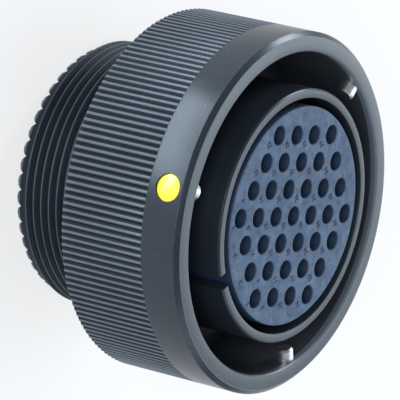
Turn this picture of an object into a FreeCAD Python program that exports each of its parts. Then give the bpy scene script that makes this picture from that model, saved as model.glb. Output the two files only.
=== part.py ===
import FreeCAD, Part
import math
import os
import re
import Sketcher

# Twist-lock circular connector: a reverse-bayonet plug of shell size 28 with 37 contacts.
# Millimetres, +Z is the mating direction. The origin lies on the axis at the rear end,
# where the tips of the anti-rotation teeth stand. X runs along the rows of contacts and
# +Y points at the keyway of the barrel.

DIMENSIONS = [
    # contacts and the insert that holds them
    ("contact_pitch", 4.953),
    ("contact_dia", 2.9),
    ("contact_clearance", 0.1),
    ("contact_recess", 4.0),
    ("contact_tail", 5.6),
    ("insert_margin", 1.091),
    ("insert_rear", 12.0),
    ("insert_edge", 0.2),
    ("insert_ring_thickness", 2.0),
    ("insert_ring_width", 1.98),
    ("tool_slot_width", 3.0),
    ("tool_slot_depth", 1.0),
    ("tool_slot_count", 2),
    # plug shell, from the insert outwards
    ("shell_length", 39.0),
    ("insert_gap", 1.3),
    ("barrel_wall", 1.45),
    ("barrel_edge", 0.25),
    ("keyway_width", 2.4),
    ("insert_shoulder", 0.5),
    ("thread_wall", 1.2),
    ("thread_lead_in", 0.4),
    ("journal_step", 1.5),
    ("journal_land", 1.6),
    ("groove_depth", 1.0),
    ("gasket_groove_depth", 0.3),
    ("flange_thickness", 1.9),
    ("tooth_count", 48),
    ("tooth_depth", 1.0),
    ("tooth_tip_width", 0.5),
    ("tooth_root_width", 0.2),
    # coupling nut
    ("nut_setback", 15.25),
    ("nut_length", 22.15),
    ("coupling_gap", 5.55),
    ("nut_wall", 3.15),
    ("nut_recess_width", 3.0),
    ("nut_recess_depth", 1.15),
    ("nut_lip_thickness", 1.5),
    ("nut_face_chamfer", 0.75),
    ("nut_bore_chamfer", 0.25),
    ("knurl_length", 15.35),
    ("knurl_ridges", 162),
    ("knurl_depth", 0.45),
    ("knurl_crest", 0.2),
    # bayonet pins and the index mark over the first of them
    ("pin_dia", 2.9),
    ("pin_reach", 2.0),
    ("pin_cover", 0.95),
    ("pin_edge", 0.3),
    ("pin_setback", 2.0),
    ("pin_phase", 51.0),
    ("pin_count", 3),
    ("mark_phase", 51.6),
    ("mark_setback", 3.4),
    ("mark_dia", 4.4),
    ("mark_recess", 0.55),
    ("mark_thickness", 0.25),
    ("mark_edge_height", 0.1),
    ("mark_edge_width", 0.3),
    # coupling mechanism
    ("washer_thickness", 0.8),
    ("spring_height", 2.5),
    ("spring_strip", 0.5),
    ("spring_waves", 3),
    ("gasket_thickness", 0.9),
    ("gasket_width", 2.65),
    ("snap_ring_thickness", 1.0),
    ("snap_ring_width", 3.2),
    ("snap_ring_opening", 24.0),
    # fits
    ("running_clearance", 0.06),
    ("free_clearance", 0.3),
    ("face_gap", 0.1),
    ("press_clearance", 0.02),
    # how far a cutting shape reaches past the surface that it opens
    ("overcut", 0.1),
]

# Contacts in each row of the hexagonal pattern, from +Y to -Y.
ROWS = (4, 5, 6, 7, 6, 5, 4)

doc = FreeCAD.newDocument("twist_lock_connector")
sheet = doc.addObject("Spreadsheet::Sheet", "dims")
for line, (alias, value) in enumerate(DIMENSIONS, start=1):
    sheet.set("A%d" % line, alias)
    sheet.set("B%d" % line, str(value))
    sheet.setAlias("B%d" % line, alias)

# Diameters from the contacts outwards, then heights above the rear end.
STATIONS = [
    ("contact_hole_dia", "contact_dia + 2 * contact_clearance"),
    ("pattern_radius", "%s * contact_pitch" % ((max(ROWS) - 1) / 2)),
    ("insert_dia", "2 * pattern_radius + contact_hole_dia + 2 * insert_margin"),
    ("barrel_bore_dia", "insert_dia + 2 * insert_gap"),
    ("barrel_dia", "barrel_bore_dia + 2 * barrel_wall"),
    ("rear_bore_dia", "barrel_bore_dia + 2 * insert_shoulder"),
    ("thread_core_dia", "rear_bore_dia + 2 * thread_wall"),
    ("journal_dia", "thread_core_dia + 2 * journal_step"),
    ("groove_dia", "journal_dia - 2 * groove_depth"),
    ("nut_bore_dia", "barrel_dia + 2 * coupling_gap"),
    ("nut_outer_dia", "nut_bore_dia + 2 * nut_wall"),
    ("nut_recess_dia", "journal_dia + 2 * nut_recess_width"),
    ("flange_dia", "nut_bore_dia - 2 * free_clearance"),
    ("lip_rear", "nut_setback + nut_recess_depth"),
    ("lip_front", "lip_rear + nut_lip_thickness"),
    ("washer_rear", "lip_front + face_gap"),
    ("spring_rear", "washer_rear + washer_thickness"),
    ("flange_rear", "spring_rear + spring_height"),
    ("flange_front", "flange_rear + flange_thickness"),
    ("gasket_front", "flange_front + gasket_thickness"),
    ("gasket_groove_dia", "barrel_dia - 2 * gasket_groove_depth"),
    ("nut_front", "nut_setback + nut_length"),
    ("pin_height", "nut_front - pin_setback"),
    ("mark_height", "nut_front - mark_setback"),
    ("snap_ring_rear", "lip_rear - face_gap - snap_ring_thickness"),
    ("thread_length", "snap_ring_rear - journal_land - journal_step"),
]
for line, (alias, text) in enumerate(STATIONS, start=len(DIMENSIONS) + 2):
    sheet.set("A%d" % line, alias)
    sheet.set("B%d" % line, "=" + text)
    sheet.setAlias("B%d" % line, alias)
doc.recompute()

ALIASES = {alias for alias, _ in DIMENSIONS + STATIONS}
parts = []


def size(alias):
    """The number in one cell of the sheet."""
    return float(sheet.get(alias))


def formula(text):
    """Turns an expression on plain words into one on the sheet's aliases."""
    return re.sub(r"[a-z_]+", lambda m: "dims." + m[0] if m[0] in ALIASES else m[0], text)


def number(owner, text):
    """The present value of an expression."""
    value = owner.evalExpression(formula(text))
    return float(getattr(value, "Value", value))


def new_body(label):
    """A body for one sub-part, which goes on the list of what is written out."""
    body = doc.addObject("PartDesign::Body", label)
    body.Label = label
    parts.append(body)
    return body


def origin_of(body, role):
    """One of the planes or axes of the body's own origin."""
    return next(item for item in body.Origin.OriginFeatures if item.Role == role)


def new_sketch(body, name, plane, offset="0"):
    """A sketch on one of the body's own planes, moved along the plane's normal."""
    sketch = body.newObject("Sketcher::SketchObject", name)
    sketch.AttachmentSupport = (origin_of(body, plane), [""])
    sketch.MapMode = "FlatFace"
    sketch.setExpression("AttachmentOffset.Base.z", formula(offset))
    return sketch


def radial_sketch(body, name, radius, phase):
    """An upright sketch at a radius from the axis, facing outwards at an angle from +X."""
    sketch = new_sketch(body, name, "YZ_Plane", "(%s) * cos(%s)" % (radius, phase))
    turn = FreeCAD.Rotation(FreeCAD.Vector(0, 1, 0), number(sketch, phase))
    sketch.AttachmentOffset = FreeCAD.Placement(FreeCAD.Vector(), turn)
    sketch.setExpression("AttachmentOffset.Base.x", formula("(%s) * sin(%s)" % (radius, phase)))
    sketch.setExpression("AttachmentOffset.Rotation.Angle", formula(phase))
    return sketch


def drive(sketch, kind, geometry, point, text):
    """Ties one coordinate of a point to an expression."""
    value = number(sketch, text)
    index = sketch.addConstraint(Sketcher.Constraint(kind, -1, 1, geometry, point, value))
    sketch.setExpression("Constraints[%d]" % index, formula(text))


def outline(sketch, corners):
    """A closed outline through corners that are pairs of expressions."""
    points = [FreeCAD.Vector(number(sketch, x), number(sketch, y), 0) for x, y in corners]
    for start, end in zip(points, points[1:] + points[:1]):
        sketch.addGeometry(Part.LineSegment(start, end), False)
    for i, (x, y) in enumerate(corners):
        following = (i + 1) % len(corners)
        sketch.addConstraint(Sketcher.Constraint("Coincident", i, 2, following, 1))
        drive(sketch, "DistanceX", i, 1, x)
        drive(sketch, "DistanceY", i, 1, y)


def circles(sketch, centres, diameter):
    """Equal circles on centres that are pairs of expressions."""
    radius = number(sketch, diameter) / 2
    for i, (x, y) in enumerate(centres):
        centre = FreeCAD.Vector(number(sketch, x), number(sketch, y), 0)
        sketch.addGeometry(Part.Circle(centre, FreeCAD.Vector(0, 0, 1), radius), False)
        drive(sketch, "DistanceX", i, 3, x)
        drive(sketch, "DistanceY", i, 3, y)
        if i:
            sketch.addConstraint(Sketcher.Constraint("Equal", 0, i))
    index = sketch.addConstraint(Sketcher.Constraint("Diameter", 0, 2 * radius))
    sketch.setExpression("Constraints[%d]" % index, formula(diameter))


def turned(body, corners, about="V_Axis", angle="360"):
    """Turns a half section, drawn as radius and height, about one of its own axes."""
    sketch = new_sketch(body, body.Name + "_section", "XZ_Plane")
    outline(sketch, corners)
    turn = body.newObject("PartDesign::Revolution", body.Name + "_turned")
    turn.Profile = sketch
    turn.ReferenceAxis = (sketch, [about])
    turn.setExpression("Angle", formula(angle))
    body.Tip = turn
    doc.recompute()


def ring(body, inner_dia, outer_dia, rear, thickness, angle="360"):
    """A flat ring, or an open one where the angle is less than a full turn."""
    turned(body, [
        ("(%s) / 2" % inner_dia, rear),
        ("(%s) / 2" % outer_dia, rear),
        ("(%s) / 2" % outer_dia, rear + " + " + thickness),
        ("(%s) / 2" % inner_dia, rear + " + " + thickness),
    ], angle=angle)


def cut_away(body, feature):
    """Makes a cut the body's result, and stops if it has taken nothing away."""
    before = body.Shape.Volume
    body.Tip = feature
    doc.recompute()
    if not body.Shape.Volume < before:
        raise RuntimeError("%s cuts nothing" % feature.Label)
    return feature


def pocket(body, sketch, length, along_normal=True):
    cut = body.newObject("PartDesign::Pocket", sketch.Name + "_cut")
    cut.Profile = sketch
    cut.setExpression("Length", formula(length))
    cut.Reversed = along_normal
    return cut_away(body, cut)


def around(body, feature, count):
    """Repeats a cut evenly round the connector's axis."""
    pattern = body.newObject("PartDesign::PolarPattern", feature.Name + "_round")
    pattern.Originals = [feature]
    pattern.Axis = (origin_of(body, "Z_Axis"), [""])
    pattern.Angle = 360
    pattern.setExpression("Occurrences", formula(count))
    return cut_away(body, pattern)


def make_plug_shell():
    """Barrel, flange, journal and threaded rear end, turned from one bar."""
    body = new_body("plug_shell")
    turned(body, [
        ("rear_bore_dia / 2", "0"),
        ("thread_core_dia / 2 - thread_lead_in", "0"),
        ("thread_core_dia / 2", "thread_lead_in"),
        ("thread_core_dia / 2", "thread_length"),
        ("journal_dia / 2", "thread_length + journal_step"),
        ("journal_dia / 2", "snap_ring_rear"),
        ("groove_dia / 2", "snap_ring_rear"),
        ("groove_dia / 2", "lip_rear"),
        ("journal_dia / 2", "lip_rear"),
        ("journal_dia / 2", "flange_rear"),
        ("flange_dia / 2", "flange_rear"),
        ("flange_dia / 2", "flange_front"),
        ("gasket_groove_dia / 2", "flange_front"),
        ("gasket_groove_dia / 2", "gasket_front + face_gap"),
        ("barrel_dia / 2", "gasket_front + face_gap"),
        ("barrel_dia / 2", "shell_length - barrel_edge"),
        ("barrel_dia / 2 - barrel_edge", "shell_length"),
        ("barrel_bore_dia / 2", "shell_length"),
        ("barrel_bore_dia / 2", "flange_front"),
        ("rear_bore_dia / 2", "flange_front"),
    ])
    keyway = new_sketch(body, "keyway", "XZ_Plane")
    outline(keyway, [
        ("-keyway_width / 2", "gasket_front + face_gap"),
        ("keyway_width / 2", "gasket_front + face_gap"),
        ("keyway_width / 2", "shell_length + overcut"),
        ("-keyway_width / 2", "shell_length + overcut"),
    ])
    pocket(body, keyway, "barrel_dia / 2 + overcut", along_normal=False)
    # The gap between two anti-rotation teeth is a trapezium, widest at their tips.
    opening = "(pi * thread_core_dia / tooth_count - tooth_tip_width) / 2"
    slope = "(" + opening + " - tooth_root_width / 2) / tooth_depth * overcut"
    gap = new_sketch(body, "tooth_gap", "YZ_Plane", "rear_bore_dia / 2 - overcut")
    outline(gap, [
        ("-tooth_root_width / 2", "tooth_depth"),
        ("-" + opening + " - " + slope, "-overcut"),
        (opening + " + " + slope, "-overcut"),
        ("tooth_root_width / 2", "tooth_depth"),
    ])
    around(body, pocket(body, gap, "thread_wall + 2 * overcut"), "tooth_count")


def make_coupling_nut():
    """Knurled nut with a plain front band, a deep bore and an inner lip near its rear."""
    body = new_body("coupling_nut")
    turned(body, [
        ("nut_recess_dia / 2", "nut_setback"),
        ("nut_outer_dia / 2", "nut_setback"),
        ("nut_outer_dia / 2", "nut_front - nut_face_chamfer"),
        ("nut_outer_dia / 2 - nut_face_chamfer", "nut_front"),
        ("nut_bore_dia / 2 + nut_bore_chamfer", "nut_front"),
        ("nut_bore_dia / 2", "nut_front - nut_bore_chamfer"),
        ("nut_bore_dia / 2", "lip_front"),
        ("journal_dia / 2 + running_clearance", "lip_front"),
        ("journal_dia / 2 + running_clearance", "lip_rear"),
        ("nut_recess_dia / 2", "lip_rear"),
    ])
    seat = radial_sketch(body, "pin_seat", "nut_bore_dia / 2 - overcut", "pin_phase")
    circles(seat, [("0", "pin_height")], "pin_dia + 2 * press_clearance")
    around(body, pocket(body, seat, "nut_wall - pin_cover + overcut"), "pin_count")
    floor = "nut_outer_dia / 2 - mark_recess"
    recess = radial_sketch(body, "mark_recess", floor, "mark_phase")
    circles(recess, [("0", "mark_height")], "mark_dia")
    pocket(body, recess, "mark_recess + overcut")
    half_gap = "(pi * nut_outer_dia / knurl_ridges - knurl_crest) / 2"
    spread = half_gap + " * (knurl_depth + overcut) / knurl_depth"
    groove = new_sketch(body, "knurl_groove", "XY_Plane", "nut_setback")
    outline(groove, [
        ("nut_outer_dia / 2 - knurl_depth", "0"),
        ("nut_outer_dia / 2 + overcut", "-" + spread),
        ("nut_outer_dia / 2 + overcut", spread),
    ])
    around(body, pocket(body, groove, "knurl_length"), "knurl_ridges")


def stand_at(body, height, angle):
    """Lifts a sub-part that was turned about the X axis and turns it to its place."""
    body.setExpression("Placement.Base.z", formula(height))
    body.setExpression("Placement.Rotation.Angle", formula(angle))


def make_bayonet_pins():
    """Steel pins pressed into the nut's wall, reaching into its bore."""
    for i in range(int(size("pin_count"))):
        pin = new_body("bayonet_pin_%d" % (i + 1))
        tip = "nut_bore_dia / 2 - pin_reach"
        turned(pin, [
            (tip, "0"),
            (tip, "pin_dia / 2 - pin_edge"),
            (tip + " + pin_edge", "pin_dia / 2"),
            ("nut_outer_dia / 2 - pin_cover", "pin_dia / 2"),
            ("nut_outer_dia / 2 - pin_cover", "0"),
        ], about="H_Axis")
        stand_at(pin, "pin_height", "pin_phase + 360 * %d / pin_count" % i)


def make_index_mark():
    """Filled colour mark, sunk a little below the nut's band."""
    mark = new_body("index_mark")
    floor = "nut_outer_dia / 2 - mark_recess"
    rim = "mark_dia / 2 - press_clearance"
    turned(mark, [
        (floor, "0"),
        (floor, rim),
        (floor + " + mark_thickness - mark_edge_height", rim),
        (floor + " + mark_thickness", rim + " - mark_edge_width"),
        (floor + " + mark_thickness", "0"),
    ], about="H_Axis")
    stand_at(mark, "mark_height", "mark_phase")


def make_coupling_rings():
    """Washer, gasket and snap ring between the shell and the nut."""
    washer = new_body("thrust_washer")
    inner = "journal_dia + 2 * free_clearance"
    ring(washer, inner, "flange_dia", "washer_rear", "washer_thickness")
    gasket = new_body("shell_gasket")
    rim = "gasket_groove_dia + 2 * gasket_width"
    ring(gasket, "gasket_groove_dia", rim, "flange_front", "gasket_thickness")
    snap_ring = new_body("snap_ring")
    inner = "groove_dia + 2 * press_clearance"
    outer = inner + " + 2 * snap_ring_width"
    arc = "360 - snap_ring_opening"
    ring(snap_ring, inner, outer, "snap_ring_rear", "snap_ring_thickness", arc)


def make_wave_spring():
    """One turn of flat strip, bent into waves between the washer and the flange."""
    waves = int(size("spring_waves"))
    strip = size("spring_strip")
    swing = (size("spring_height") - strip - size("face_gap")) / 2
    base = size("spring_rear") + size("face_gap") / 2
    inner = size("journal_dia") / 2 + size("free_clearance")
    outer = size("flange_dia") / 2
    rims = []
    for radius in (inner, outer):
        points = []
        for step in range(4 * waves):
            angle = 2 * math.pi * step / (4 * waves)
            height = base + swing * (1 - math.cos(waves * angle))
            points.append((radius * math.cos(angle), radius * math.sin(angle), height))
        curve = Part.BSplineCurve()
        curve.interpolate(Points=[FreeCAD.Vector(*p) for p in points], PeriodicFlag=True)
        rims.append(curve.toShape())
    spring = doc.addObject("Part::Feature", "wave_spring")
    spring.Label = "wave_spring"
    spring.Shape = Part.makeRuledSurface(*rims).extrude(FreeCAD.Vector(0, 0, strip))
    spring.Placement = FreeCAD.Placement()
    parts.append(spring)


def contact_places():
    """Centres of the contacts, row by row from +Y, each as a pair of expressions."""
    for row, count in enumerate(ROWS):
        y = "%s * contact_pitch * sqrt(3) / 2" % ((len(ROWS) - 1) / 2 - row)
        for column in range(count):
            yield "%s * contact_pitch" % (column - (count - 1) / 2), y


def make_insert():
    """Resilient insert, thicker behind the shell's shoulder, with a hole a contact."""
    insert = new_body("contact_insert")
    turned(insert, [
        ("0", "insert_rear"),
        ("rear_bore_dia / 2 - press_clearance", "insert_rear"),
        ("rear_bore_dia / 2 - press_clearance", "flange_front"),
        ("insert_dia / 2", "flange_front"),
        ("insert_dia / 2", "shell_length - insert_edge"),
        ("insert_dia / 2 - insert_edge", "shell_length"),
        ("0", "shell_length"),
    ])
    holes = new_sketch(insert, "contact_holes", "XY_Plane", "insert_rear - overcut")
    circles(holes, list(contact_places()), "contact_hole_dia")
    pocket(insert, holes, "shell_length - insert_rear + 2 * overcut")


def make_insert_ring():
    """Ring behind the insert, with two slots for the tool that drives it home."""
    body = new_body("insert_ring")
    rear = "insert_rear - insert_ring_thickness"
    outer = "rear_bore_dia - 2 * press_clearance"
    ring(body, outer + " - 2 * insert_ring_width", outer, rear, "insert_ring_thickness")
    slot = new_sketch(body, "tool_slot", "YZ_Plane")
    outline(slot, [
        ("-tool_slot_width / 2", rear + " - overcut"),
        ("tool_slot_width / 2", rear + " - overcut"),
        ("tool_slot_width / 2", rear + " + tool_slot_depth"),
        ("-tool_slot_width / 2", rear + " + tool_slot_depth"),
    ])
    around(body, pocket(body, slot, "rear_bore_dia / 2 + overcut"), "tool_slot_count")


def make_contacts():
    """Socket contacts, sunk below the insert's face, with their tails behind it."""
    for i, (x, y) in enumerate(contact_places()):
        contact = doc.addObject("Part::Cylinder", "socket_contact_%02d" % (i + 1))
        contact.Label = contact.Name
        contact.setExpression("Radius", formula("contact_dia / 2"))
        length = "shell_length - contact_recess - insert_rear + contact_tail"
        contact.setExpression("Height", formula(length))
        contact.setExpression("Placement.Base.x", formula(x))
        contact.setExpression("Placement.Base.y", formula(y))
        contact.setExpression("Placement.Base.z", formula("insert_rear - contact_tail"))
        parts.append(contact)


make_plug_shell()
make_coupling_nut()
make_bayonet_pins()
make_index_mark()
make_coupling_rings()
make_wave_spring()
make_insert()
make_insert_ring()
make_contacts()
doc.recompute()

for item in doc.Objects:
    if {"Invalid", "Error"} & set(item.State):
        raise RuntimeError("%s did not compute: %s" % (item.Label, item.State))
for part in parts:
    if part.Shape.isNull() or not part.Shape.isValid():
        raise RuntimeError("%s has no valid shape" % part.Label)

os.makedirs("parts", exist_ok=True)
for part in parts:
    part.Shape.exportStep("parts/%s.step" % part.Label)
print("%d sub-parts written" % len(parts))
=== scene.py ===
# %% [markdown]
# # Dressing a twist-lock circular connector
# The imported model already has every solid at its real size: the keyed shell, the knurled
# coupling nut, its three bayonet pins, the insert and the 37 socket contacts. This lesson
# gives them the surfaces that a camera sees. Everything is in metres, in the packed
# model's own frame: Z is the connector's axis and points out of the insert's face.

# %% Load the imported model
import math

import bmesh
import bpy
from mathutils import Matrix, Quaternion, Vector


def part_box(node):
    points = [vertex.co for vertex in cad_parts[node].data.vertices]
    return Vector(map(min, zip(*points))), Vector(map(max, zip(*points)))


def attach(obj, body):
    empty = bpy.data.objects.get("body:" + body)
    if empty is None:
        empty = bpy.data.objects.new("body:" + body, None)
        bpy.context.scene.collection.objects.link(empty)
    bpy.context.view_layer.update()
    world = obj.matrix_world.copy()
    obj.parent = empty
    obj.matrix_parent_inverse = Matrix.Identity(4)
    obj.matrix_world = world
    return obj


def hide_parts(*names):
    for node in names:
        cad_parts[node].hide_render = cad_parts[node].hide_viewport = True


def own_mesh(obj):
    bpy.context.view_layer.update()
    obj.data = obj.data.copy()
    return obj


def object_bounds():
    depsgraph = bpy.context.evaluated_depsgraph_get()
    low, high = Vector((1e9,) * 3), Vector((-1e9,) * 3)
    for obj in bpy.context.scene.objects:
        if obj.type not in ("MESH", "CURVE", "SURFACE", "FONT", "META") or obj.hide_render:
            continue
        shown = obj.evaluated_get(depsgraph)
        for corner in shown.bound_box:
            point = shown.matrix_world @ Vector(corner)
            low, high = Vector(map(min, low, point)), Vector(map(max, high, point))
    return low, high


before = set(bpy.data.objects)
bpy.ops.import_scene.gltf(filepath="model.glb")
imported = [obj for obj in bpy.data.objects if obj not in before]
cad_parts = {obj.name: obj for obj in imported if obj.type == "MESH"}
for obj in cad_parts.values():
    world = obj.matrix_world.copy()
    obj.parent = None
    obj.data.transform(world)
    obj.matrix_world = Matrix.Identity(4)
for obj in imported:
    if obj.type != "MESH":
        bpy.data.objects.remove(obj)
cad_low, cad_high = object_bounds()
MM = 0.001

# %% [markdown]
# ## Where the camera stands
# The picture was taken with a long lens from in front of the insert, a little above it,
# with the connector lying on its side. Here the connector stands on its rear end. It could
# be laid down for the camera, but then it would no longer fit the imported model, so the
# camera is rolled instead. A direction, a distance, an aim point and a roll say that
# plainly, and each of them can be changed by itself. The lens and the sensor are in
# millimetres, as Blender has them.

# %% Camera
VIEW_AZIMUTH = math.radians(141.247)
VIEW_ELEVATION = math.radians(33.321)
VIEW_ROLL = math.radians(103.242)
VIEW_DISTANCE = 682.36 * MM
AIM = Vector((-1.184, -0.060, 20.699)) * MM
LENS_LENGTH = 387
SENSOR_WIDTH = 36
NEAREST_SEEN = VIEW_DISTANCE / 100
FARTHEST_SEEN = VIEW_DISTANCE * 20


def in_scene(name, data):
    """A new object in the scene, made of a mesh, a text, a camera or a lamp."""
    thing = bpy.data.objects.new(name, data)
    bpy.context.scene.collection.objects.link(thing)
    return thing


towards_camera = Vector((
    math.sin(VIEW_AZIMUTH) * math.cos(VIEW_ELEVATION),
    -math.cos(VIEW_AZIMUTH) * math.cos(VIEW_ELEVATION),
    math.sin(VIEW_ELEVATION),
))
level = (-towards_camera).to_track_quat("-Z", "Y")

camera_data = bpy.data.cameras.new("camera")
camera_data.lens = LENS_LENGTH
camera_data.sensor_width = SENSOR_WIDTH
camera_data.clip_start = NEAREST_SEEN
camera_data.clip_end = FARTHEST_SEEN
camera = in_scene("camera", camera_data)
camera.rotation_mode = "QUATERNION"
camera.rotation_quaternion = level @ Quaternion((0, 0, 1), VIEW_ROLL)
camera.location = AIM + towards_camera * VIEW_DISTANCE
bpy.context.scene.camera = camera
print("camera at", [round(x, 3) for x in camera.location])

# %% [markdown]
# ## Shader maths that reads like arithmetic
# A material is a graph of nodes. Wiring each Math node by hand hides the formula that it
# stands for, so a small class wraps one socket and overloads the operators: writing
# `1 - mask` adds the node. Any other node comes from one method of the same class, which
# sets the node's settings first and then its sockets.

# %% Sockets with operators
class Shade:
    """One output of a node. Arithmetic on it adds Math nodes to the same material."""

    def __init__(self, tree, socket):
        self.tree = tree
        self.socket = socket

    @classmethod
    def from_node(cls, tree, kind, settings, sockets, output=0):
        """Adds a node, sets it up, gives its sockets values or links, and wraps one output."""
        node = tree.nodes.new(kind)
        for name, value in settings.items():
            setattr(node, name, value)
        for name, value in sockets.items():
            if isinstance(value, Shade):
                tree.links.new(value.socket, node.inputs[name])
            else:
                node.inputs[name].default_value = value
        return cls(tree, node.outputs[output])

    def sibling(self, output):
        """Another output of the same node."""
        return Shade(self.tree, self.socket.node.outputs[output])

    def maths(self, operation, first, second):
        settings = {"operation": operation}
        return Shade.from_node(self.tree, "ShaderNodeMath", settings, {0: first, 1: second})

    def __add__(self, other):
        return self.maths("ADD", self, other)

    def __sub__(self, other):
        return self.maths("SUBTRACT", self, other)

    def __rsub__(self, other):
        return self.maths("SUBTRACT", other, self)

    def __mul__(self, other):
        return self.maths("MULTIPLY", self, other)

    def __pow__(self, other):
        return self.maths("POWER", self, other)

    def __rpow__(self, other):
        return self.maths("POWER", other, self)

    __radd__ = __add__
    __rmul__ = __mul__

    def above(self, low, high):
        """0 below one value and 1 above another, with a smooth step between them."""
        settings = {"interpolation_type": "SMOOTHSTEP"}
        sockets = {"Value": self, "From Min": low, "From Max": high}
        return Shade.from_node(self.tree, "ShaderNodeMapRange", settings, sockets)


print("socket operators ready")

# %% [markdown]
# ## Colours are mixed, not calculated
# A Math node would turn a colour grey, so colours go through the Mix node. It has sockets
# for every kind of value, and those for colours are found by their place.

# %% Colours
MIX_FIRST_COLOUR = 6
MIX_SECOND_COLOUR = 7
MIX_RESULT_COLOUR = 2


def mixed(tree, share, first, second):
    """A colour between two others."""
    sockets = {"Factor": share, MIX_FIRST_COLOUR: first, MIX_SECOND_COLOUR: second}
    return Shade.from_node(
        tree, "ShaderNodeMix", {"data_type": "RGBA"}, sockets, output=MIX_RESULT_COLOUR)


def scaled(colour, factor):
    """A plain colour made darker or lighter, with its alpha added."""
    return (*[factor * part for part in colour], 1)


print("colour helpers ready")

# %% [markdown]
# ## Coordinates that follow the lathe
# Nearly every part of this object was turned, so its tool marks run round the axis. A
# picture of brushed metal would need the parts unwrapped, and it would show its seams.
# Here a noise is read at changed coordinates: it is fine along the radius and the height
# and coarse along x and y, so that its marks run round on faces and on walls alike.

# %% Turned coordinates
def object_place(tree):
    """The point on the surface, in the piece's own frame."""
    return Shade.from_node(tree, "ShaderNodeTexCoord", {}, {}, output="Object")


def axes_of(tree, place):
    """The three coordinates of a point."""
    x = Shade.from_node(tree, "ShaderNodeSeparateXYZ", {}, {0: place}, output="X")
    return x, x.sibling("Y"), x.sibling("Z")


def noise(tree, place, scale, detail=3.0, roughness=0.5):
    """Cloudy noise from 0 to 1."""
    sockets = {"Vector": place, "Scale": scale, "Detail": detail, "Roughness": roughness}
    return Shade.from_node(tree, "ShaderNodeTexNoise", {}, sockets)


def turned_place(tree, across, along):
    """Coordinates for noise that runs round the axis: fine across the marks, long on them."""
    x, y, z = axes_of(tree, object_place(tree))
    radius = (x * x + y * y) ** 0.5
    sockets = {"X": radius * across + x * along, "Y": z * across, "Z": y * along}
    return Shade.from_node(tree, "ShaderNodeCombineXYZ", {}, sockets)


print("turned coordinates ready")

# %% Finishes from named sockets
def bump(tree, height, distance, strength=1.0):
    """Turns a height into a normal."""
    sockets = {"Height": height, "Distance": distance, "Strength": strength}
    return Shade.from_node(tree, "ShaderNodeBump", {}, sockets)


def new_finish(name, **sockets):
    """A Principled material whose sockets are set by name, with the node tree to build on."""
    material = bpy.data.materials.new(name)
    material.use_nodes = True
    tree = material.node_tree
    shader = tree.nodes["Principled BSDF"]
    for socket, value in sockets.items():
        shader.inputs[socket.replace("_", " ")].default_value = value
    return material, tree, shader


def feed(tree, shader, **links):
    """Links shades to the shader's sockets."""
    for socket, shade in links.items():
        tree.links.new(shade.socket, shader.inputs[socket.replace("_", " ")])


print("finish helpers ready")

# %% [markdown]
# ## Black plating
# The shell and the nut are aluminium with a black, faintly blue plating that has a satin
# gloss. Broad lights show on it as soft grey areas. Fine turning marks, a cloudy change of
# roughness and small pale specks where the plating is rubbed keep it from looking painted.
# The crests of the knurl are painted paler, partly as wear and partly as a painted highlight,
# and the thread's crests paler as a painted highlight, while their grooves are painted dark
# as painted shade, and the nut's bore is duller than its outside. One material could blend
# all of this by a mask, but the borders lie exactly on edges of the metal, so each kind of
# place gets a plating of its own, and the faces are given theirs when their piece is made.

# %% Plating
PLATING_TINT = (0.74, 0.88, 1.0, 1)
BARE_METAL = (0.30, 0.31, 0.33, 1)
DARK_CLOUD = 0.8
PALE_CLOUD = 1.3
PLATING_DROP = 0.06
PLATING_CLOUDS_ADD = 0.08
PLATING_MARKS_ADD = 0.05
PLATING_MARK_DEPTH = 0.004 * MM


def plating(name, colour, roughness, specks=0.4, gloss_index=1.5):
    """Black conductive plating on turned aluminium."""
    material, tree, shader = new_finish(
        name, Base_Color=(*colour, 1), IOR=gloss_index, Specular_Tint=PLATING_TINT)
    marks = noise(tree, turned_place(tree, across=9000, along=60), scale=1.0, detail=4)
    clouds = noise(tree, object_place(tree), scale=140, detail=4)
    specked = noise(tree, object_place(tree), scale=2600, detail=2).above(low=0.70, high=0.78)
    base = mixed(tree, clouds, scaled(colour, DARK_CLOUD), scaled(colour, PALE_CLOUD))
    base = mixed(tree, specked * specks, base, BARE_METAL)
    gloss = roughness - PLATING_DROP + clouds * PLATING_CLOUDS_ADD
    gloss = gloss + marks * PLATING_MARKS_ADD
    normal = bump(tree, marks, PLATING_MARK_DEPTH)
    feed(tree, shader, Base_Color=base, Roughness=gloss, Normal=normal)
    return material


nut_plating = plating("nut_plating", colour=(0.018, 0.023, 0.031), roughness=0.29, specks=0.5)
shell_plating = plating("shell_plating", colour=(0.015, 0.019, 0.026), roughness=0.36)
# Pale plating: painted highlights on crests, edges and tooth tips, a painted strip of light in the
# bore's mouth, and wear on the knurl's crests.
painted_light_and_wear_plating = plating(
    "painted_light_and_wear_plating", colour=(0.105, 0.122, 0.145), roughness=0.36, specks=0.6)
# Dark, dull plating: painted shade in the knurl's grooves, on the thread's flanks and core, and in
# the gap beside the barrel.
painted_shade_plating = plating(
    "painted_shade_plating", colour=(0.012, 0.016, 0.022), roughness=0.50, specks=0.1, gloss_index=1.35)
bore_plating = plating(
    "bore_plating", colour=(0.034, 0.039, 0.046), roughness=0.45, specks=0.3)
# Paler plating for the thread's crests: a painted highlight.
thread_highlight_plating = plating(
    "thread_highlight_plating", colour=(0.056, 0.066, 0.080), roughness=0.42, specks=0.3)
print("outer platings:", nut_plating.name, shell_plating.name, painted_light_and_wear_plating.name)
print("inner platings:", painted_shade_plating.name, bore_plating.name, thread_highlight_plating.name)
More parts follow.
